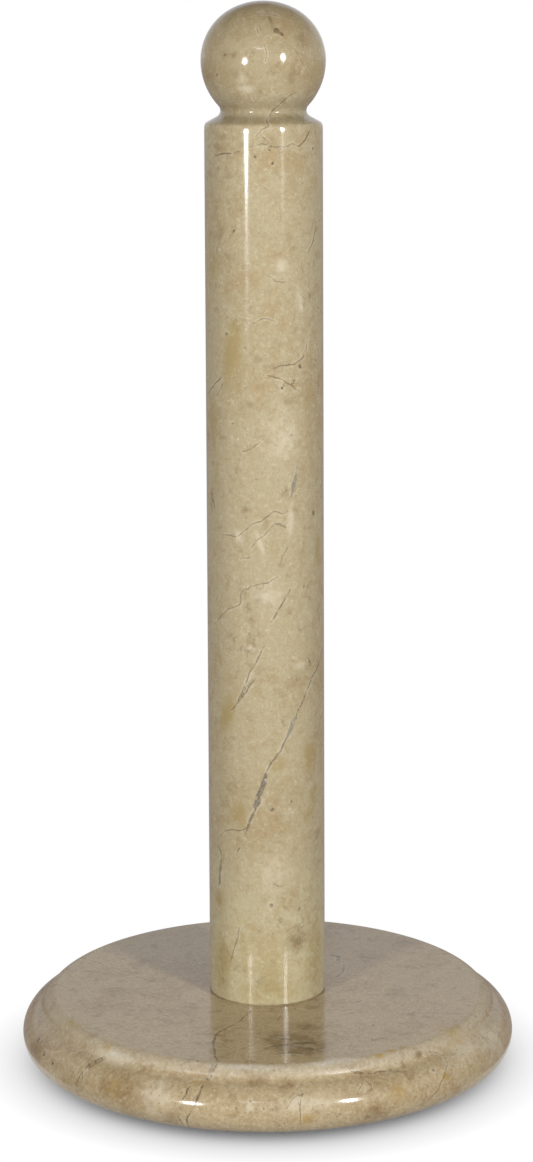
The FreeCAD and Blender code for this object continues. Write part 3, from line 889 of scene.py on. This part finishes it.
def polished_marble(name, shift, body, pale, tan, rust, umber, clouds, speck, hair, curl,
                    cell, silt, pepper, polish, painted_shading=(), honed_lip=None):
    """Polished cream marble with its own cracks, stains, specks and shell marks, plus any
    given bands of painted light and shade.
    """
    made, n, shader = material(name)
    at = n.in_millimetres(shift)
    stone = n.effect("stone_clouds", Vector=at, Body=body, Pale=pale, Tan=tan, Silt=umber,
                     **clouds)
    color = stone["Color"]
    # bands of painted light and shade by height; each multiplies the colour, and its edges
    # drift a little
    if painted_shading:
        height = n.separate(n.in_millimetres())[2]
        drift = n.maths("SUBTRACT", n.noise(at, 0.08, 2.0), 0.5)
    for start, full, ease, end, paint in painted_shading:
        level = n.maths("MULTIPLY_ADD", drift, end - ease, height)
        share = n.times(n.steps(level, start, full), n.steps(level, end, ease))
        color = n.tint(share, color, paint, "MULTIPLY")
    beds = n.effect("filigree", Vector=at)
    marks = n.effect("stain_marks", Vector=at, Break_up=1.0)
    shells = n.effect("fossil_marks", Vector=at, **curl)
    grains = n.effect("specks", Vector=at, **speck)
    dust = n.effect("specks", Vector=at, Spacing=0.80, Dark_share=0.50, Pale_share=0.0,
                    Size=0.24)
    patches = n.steps(n.noise(at, 0.13, 4.0, 0.6), 0.43, 0.58)
    fine = n.effect("hairlines", Vector=at, **hair)
    drawn = n.effect("crack_ink", Vector=at, Cell=cell, Ragged=0.34, Soft_edge=0.15)
    for amount, strength, paint in (
            (beds["Line"], silt, umber), (marks["Umber"], 0.85, umber),
            (marks["Rust"], 0.85, rust), (shells["Curl"], 0.34, PALE_CREAM),
            (marks["Pale"], 0.62, PALE_CREAM), (grains["Pale"], 0.5, PALE_CREAM),
            (grains["Dark"], 0.5, umber), (n.times(dust["Dark"], patches), pepper, umber),
            (fine["Line"], 0.34, CRACK_BROWN), (drawn["Edge"], 0.28, PALE_CREAM)):
        color = n.tint(n.times(amount, strength), color, paint)
    color = n.tint(drawn["Line"], color, n.tint(drawn["Grey"], CRACK_BROWN, CRACK_GREY))
    dull = n.maths("MULTIPLY_ADD", drawn["Line"], 0.18, polish)
    dull = n.maths("MULTIPLY_ADD", stone["Clouds"], 0.03, dull)
    if honed_lip:
        start, full, ease, end, paler = honed_lip
        mark = n.attribute("tape")["Fac"]
        honed = n.times(n.steps(mark, start, full), n.steps(mark, end, ease))
        color = n.tint(honed, color, paler, "MULTIPLY")
        dull = n.maths("MULTIPLY_ADD", honed, 0.33, dull)
    n.feed(shader, {"Base Color": color, "Roughness": dull, "IOR": STONE_IOR})
    n.relief(shader, 0.15, 0.00005, n.times(drawn["Line"], -1.0))
    return made


column_marble = polished_marble(
    "column_marble", (0.0, 0.0, 0.0),
    body=(0.422, 0.358, 0.228, 1), pale=(0.500, 0.448, 0.315, 1),
    tan=(0.375, 0.292, 0.165, 1), rust=(0.352, 0.268, 0.120, 1),
    umber=(0.225, 0.155, 0.075, 1),
    clouds=dict(Cloud_scale=0.035, Mottle_scale=0.24, Mottle=0.36, Grain_scale=1.5,
                Grain=0.42, Blotch=0.34),
    speck=dict(Spacing=2.6, Dark_share=0.06, Pale_share=0.10, Size=0.34),
    hair=dict(Spacing=17.0, Width=0.11, Coverage=0.55),
    curl=dict(Spacing=3.4, Share=0.42, Width=0.26),
    cell=0.45, silt=0.22, pepper=0.22, polish=0.10,
    # painted light and shade: paler at the foot, standing in for light reflected up from the
    # base, and painted shade in the neck under the ball and over the ball
    painted_shading=[(-20, -10, 28, 75, (1.19, 1.25, 1.25, 1)),
            (289, 291, 296, 299, (0.84, 0.85, 0.85, 1)),
            (296, 299, 330, 340, (0.91, 0.89, 0.86, 1))])

base_marble = polished_marble(
    "base_marble", (170.0, 90.0, 40.0),
    body=(0.434, 0.343, 0.206, 1), pale=(0.530, 0.465, 0.330, 1),
    tan=(0.360, 0.268, 0.150, 1), rust=(0.385, 0.262, 0.085, 1),
    umber=(0.195, 0.125, 0.055, 1),
    clouds=dict(Cloud_scale=0.06, Mottle_scale=0.30, Mottle=0.50, Grain_scale=1.4,
                Grain=0.55, Blotch=0.45),
    speck=dict(Spacing=1.7, Dark_share=0.22, Pale_share=0.12, Size=0.30),
    hair=dict(Spacing=15.0, Width=0.11, Coverage=0.55),
    curl=dict(Spacing=3.8, Share=0.30, Width=0.26),
    cell=0.75, silt=0.28, pepper=0.50, polish=0.115,
    honed_lip=(65.0, 66.5, 69.0, 71.5, (1.08, 1.15, 1.33, 1)))


def cast_resin(name, dark, light, rough):
    """Resin used for the joint: lightly clouded, a little uneven."""
    made, n, shader = material(name)
    at = n.in_millimetres()
    cloud = n.steps(n.noise(at, 0.4, 4.0, 0.6), 0.35, 0.65)
    uneven = n.steps(n.noise(at, 1.2, 3.0), 0.3, 0.7, rough - 0.08, rough + 0.08)
    n.feed(shader, {"Base Color": n.tint(cloud, dark, light), "Roughness": uneven})
    n.relief(shader, 0.4, 0.0001, n.noise(at, 1.6, 4.0))
    return made


def zinc_steel(name):
    """Zinc-plated steel with a faint passivation tint, brushed by handling."""
    made, n, shader = material(name)
    at = n.in_millimetres()
    cloud = n.steps(n.noise(at, 0.35, 4.0, 0.6), 0.3, 0.7)
    color = n.tint(cloud, (0.56, 0.57, 0.58, 1), (0.70, 0.69, 0.64, 1))
    spots = n.effect("specks", Vector=at, Spacing=1.1, Dark_share=0.18, Pale_share=0.0,
                     Size=0.2)
    color = n.tint(n.times(spots["Dark"], 0.35), color, (0.3, 0.27, 0.22, 1))
    drawn = n.place("ShaderNodeMapping", {"Vector": at, "Scale": (1.0, 1.0, 9.0)})
    lines = n.noise(drawn.outputs[0], 0.9, 3.0)
    n.feed(shader, {"Base Color": color, "Roughness": n.steps(lines, 0.3, 0.7, 0.24, 0.42),
                    "Metallic": 1.0})
    n.relief(shader, 0.25, 0.00005, lines)
    return made


def foot_rubber(name):
    """Dark moulded rubber, matt, with a fine grain and paler scuffs on its sole."""
    made, n, shader = material(name)
    at = n.in_millimetres()
    scuff = n.steps(n.noise(at, 0.5, 5.0, 0.65), 0.48, 0.72)
    color = n.tint(scuff, (0.020, 0.019, 0.018, 1), (0.060, 0.057, 0.052, 1))
    n.feed(shader, {"Base Color": color, "Roughness": n.steps(scuff, 0.0, 1.0, 0.55, 0.75)})
    n.relief(shader, 0.5, 0.0001, n.noise(at, 3.0, 4.0, 0.6))
    return made


# ---- pieces --------------------------------------------------------------------------
lathe = lathe_tree()

section, outside = column_section()
column = turned("column_stone", section, COLUMN_SEGMENTS, column_marble, lathe)
outer = np.array(section[outside:])
surface = Surface(outer, outer[:, 1])
vertices = draw_cracks(column.data, surface, COLUMN_CRACKS, COLUMN_SPOTS, seed=7)
lay_stains(column.data, surface, COLUMN_STAINS, vertices)

section, edge = base_section()
base = turned("base_stone", section, BASE_SEGMENTS, base_marble, lathe)
outer = np.array(section[:edge])
tape = stud_hole_radius + np.concatenate(
    ([0.0], np.cumsum(np.hypot(*np.diff(outer, axis=0).T))))
surface = Surface(outer, tape)
vertices = draw_cracks(base.data, surface, BASE_CRACKS, BASE_SPOTS, seed=12)
lay_stains(base.data, surface, BASE_STAINS, vertices)
measure_tape(base.data, vertices, outer, tape)

for stone, node, slot in ((column, "column", "column_stone"), (base, "base", "base_stone")):
    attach(stone, "root")
    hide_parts(node)

joint_resin = cast_resin("joint_resin", (0.22, 0.165, 0.09, 1), (0.34, 0.27, 0.16, 1), 0.45)
bore_resin = cast_resin("bore_resin", (0.42, 0.36, 0.24, 1), (0.55, 0.48, 0.33, 1), 0.40)
plated_steel = zinc_steel("plated_steel")
pad_rubber = foot_rubber("pad_rubber")
finishes = {"bedding_ring": joint_resin, "resin_sleeve": bore_resin, "stud": plated_steel,
            "washer": plated_steel, "spring_washer": plated_steel, "hex_nut": plated_steel}
for name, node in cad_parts.items():
    if name.startswith("pad"):
        finishes[name] = pad_rubber
    if name in finishes:
        node.data.materials.clear()
        node.data.materials.append(finishes[name])

# ---- studio --------------------------------------------------------------------------
FLOOR_HALF = 3.0
SHADOW_REACH = 0.016
SHADOW_POWER = 0.50
SHADOW_LEAN = 0.2            # makes the shadow a little stronger at the front
TENT_SEGMENTS = 96
# (radius, height) from the ground cloth's inner edge, out, up and in again
TENT_HEM = [(0.082, 0.0004), (1.7, 0.0004), (1.7, 1.0), (1.7, 2.0), (0.001, 2.0)]
TENT_LOW = (0.36, 0.32, 0.33, 1)
TENT_LIT_BAND = (0.88, 0.88, 0.93, 1)
TENT_ROOF = (0.15, 0.15, 0.15, 1)


def stage_object(name, points, faces, made):
    """A piece of the studio; its glow is seen but isn't sampled as a lamp."""
    mesh = bpy.data.meshes.new(name)
    mesh.from_pydata(points, [], faces)
    mesh.materials.append(made)
    made.cycles.emission_sampling = "NONE"
    return add_object(name, mesh)


def plane_floor():
    """Pale floor; a soft contact shadow stays round the base."""
    made, n = empty_material("pale_floor")
    lean = n.place("ShaderNodeCombineXYZ", {0: 0.0, 1: SHADOW_LEAN, 2: 1.0})
    open_sky = n.place("ShaderNodeAmbientOcclusion", {
        "Distance": SHADOW_REACH, "Normal": n.vectors("NORMALIZE", lean.outputs[0])},
        samples=24).outputs["AO"]
    shadow = n.maths("POWER", open_sky, SHADOW_POWER)
    seen = n.place("ShaderNodeEmission", {"Color": (1, 1, 1, 1), "Strength": shadow})
    lit = n.place("ShaderNodeBsdfDiffuse", {"Color": (0.6, 0.6, 0.6, 1)})
    mix = n.place("ShaderNodeMixShader", {
        0: n.seen_directly(), 1: lit.outputs[0], 2: seen.outputs[0]})
    n.place("ShaderNodeOutputMaterial", {"Surface": mix.outputs[0]})
    corners = [(x * FLOOR_HALF, y * FLOOR_HALF, 0)
               for x, y in ((-1, -1), (1, -1), (1, 1), (-1, 1))]
    return stage_object("floor", corners, [(0, 1, 2, 3)], made)


def studio_tent():
    """Cloth tent and ground cloth, seen only in the polish: dim low down, cool above."""
    points = [(radius * math.cos(math.tau * i / TENT_SEGMENTS),
               radius * math.sin(math.tau * i / TENT_SEGMENTS), height)
              for radius, height in TENT_HEM for i in range(TENT_SEGMENTS)]
    faces = [(row + i, row + i + TENT_SEGMENTS,
              row + (i + 1) % TENT_SEGMENTS + TENT_SEGMENTS, row + (i + 1) % TENT_SEGMENTS)
             for row in range(0, TENT_SEGMENTS * (len(TENT_HEM) - 1), TENT_SEGMENTS)
             for i in range(TENT_SEGMENTS)]
    made, n = empty_material("tent_cloth")
    level = n.separate(n.place("ShaderNodeTexCoord").outputs["Object"])[2]
    cloth = n.tint(n.steps(level, 0.10, 0.42), TENT_LOW, TENT_LIT_BAND)
    cloth = n.tint(n.steps(level, 1.1, 1.9), cloth, TENT_ROOF)
    glow = n.place("ShaderNodeEmission", {"Color": cloth, "Strength": 1.0})
    n.place("ShaderNodeOutputMaterial", {"Surface": glow.outputs[0]})
    tent = stage_object("studio_tent", points, faces, made)
    for ray in ("camera", "diffuse", "shadow", "volume_scatter"):
        setattr(tent, "visible_" + ray, False)
    return tent


def lamp(name, shape, azimuth, distance, height, aim, width, tall, radiance):
    """Soft lamp of a given radiance; azimuth in degrees from the front to the right."""
    data = bpy.data.lights.new(name, "AREA")
    data.shape = shape
    data.size, data.size_y = width, tall
    area = width * tall * (math.pi / 4 if shape == "ELLIPSE" else 1.0)
    data.energy = radiance * 4 * area
    light = add_object(name, data)
    turn = math.radians(azimuth)
    light.location = (distance * math.sin(turn), -distance * math.cos(turn), height)
    towards = Vector((0, 0, aim)) - light.location
    light.rotation_euler = towards.to_track_quat("-Z", "Y").to_euler()
    light.visible_camera = False
    return light


plane_floor()
studio_tent()

# azimuth, distance, height, aimed height, width, tallness, radiance
lamp("left_softbox", "ELLIPSE", -33.5, 1.0, 0.302, 0.302, 0.150, 0.192, 60.0)
lamp("left_skirt", "RECTANGLE", -33.5, 1.0, 0.150, 0.150, 0.110, 0.080, 2.2)
lamp("right_softbox", "ELLIPSE", 36.6, 1.0, 0.413, 0.413, 0.135, 0.240, 66.0)
lamp("right_skirt", "RECTANGLE", 36.6, 1.0, 0.248, 0.248, 0.070, 0.110, 4.5)
lamp("front_strip", "RECTANGLE", -6.0, 0.95, 0.72, 0.30, 0.27, 0.045, 10.0)
back_fill = lamp("back_fill", "RECTANGLE", 180.0, 1.2, 0.28, 0.15, 0.90, 0.50, 3.0)
back_fill.visible_glossy = False

world = bpy.data.worlds.new("studio")
bpy.context.scene.world = world
world.use_nodes = True
world.node_tree.nodes.clear()
sky = Nodes(world.node_tree)
white = sky.place("ShaderNodeBackground", {"Color": (1, 1, 1, 1), "Strength": 1.0})
fill = sky.place("ShaderNodeBackground", {
    "Color": (1.0, 0.88, 0.70, 1), "Strength": 0.20})
mix = sky.place("ShaderNodeMixShader", {
    0: sky.seen_directly(), 1: fill.outputs[0], 2: white.outputs[0]})
sky.place("ShaderNodeOutputWorld", {"Surface": mix.outputs[0]})

# ---- camera --------------------------------------------------------------------------
IMAGE_LONG_SIDE = 1162
FOCAL_LENGTH = 2842.0        # in the same measure as the image's long side
CAMERA_DISTANCE = 0.8577
CAMERA_HEIGHT = 0.3236
pitch = math.radians(6.825)
roll = math.radians(-0.267)
camera_data = bpy.data.cameras.new("camera")
camera_data.sensor_width = 36.0
camera_data.lens = camera_data.sensor_width * FOCAL_LENGTH / IMAGE_LONG_SIDE
camera_data.shift_x = 0.0017
camera_data.shift_y = -0.20
camera_data.clip_start = 0.01
camera = add_object("camera", camera_data)
ahead = Vector((0, math.cos(pitch), -math.sin(pitch)))
above = Vector((0, math.sin(pitch), math.cos(pitch)))
beside = Vector((1, 0, 0))
right = beside * math.cos(roll) + above * math.sin(roll)
up = above * math.cos(roll) - beside * math.sin(roll)
camera.matrix_world = Matrix.Translation((0, -CAMERA_DISTANCE, CAMERA_HEIGHT)) @ Matrix(
    (right, up, -ahead)).transposed().to_4x4()
bpy.context.scene.camera = camera
bpy.context.scene.view_settings.view_transform = "Standard"
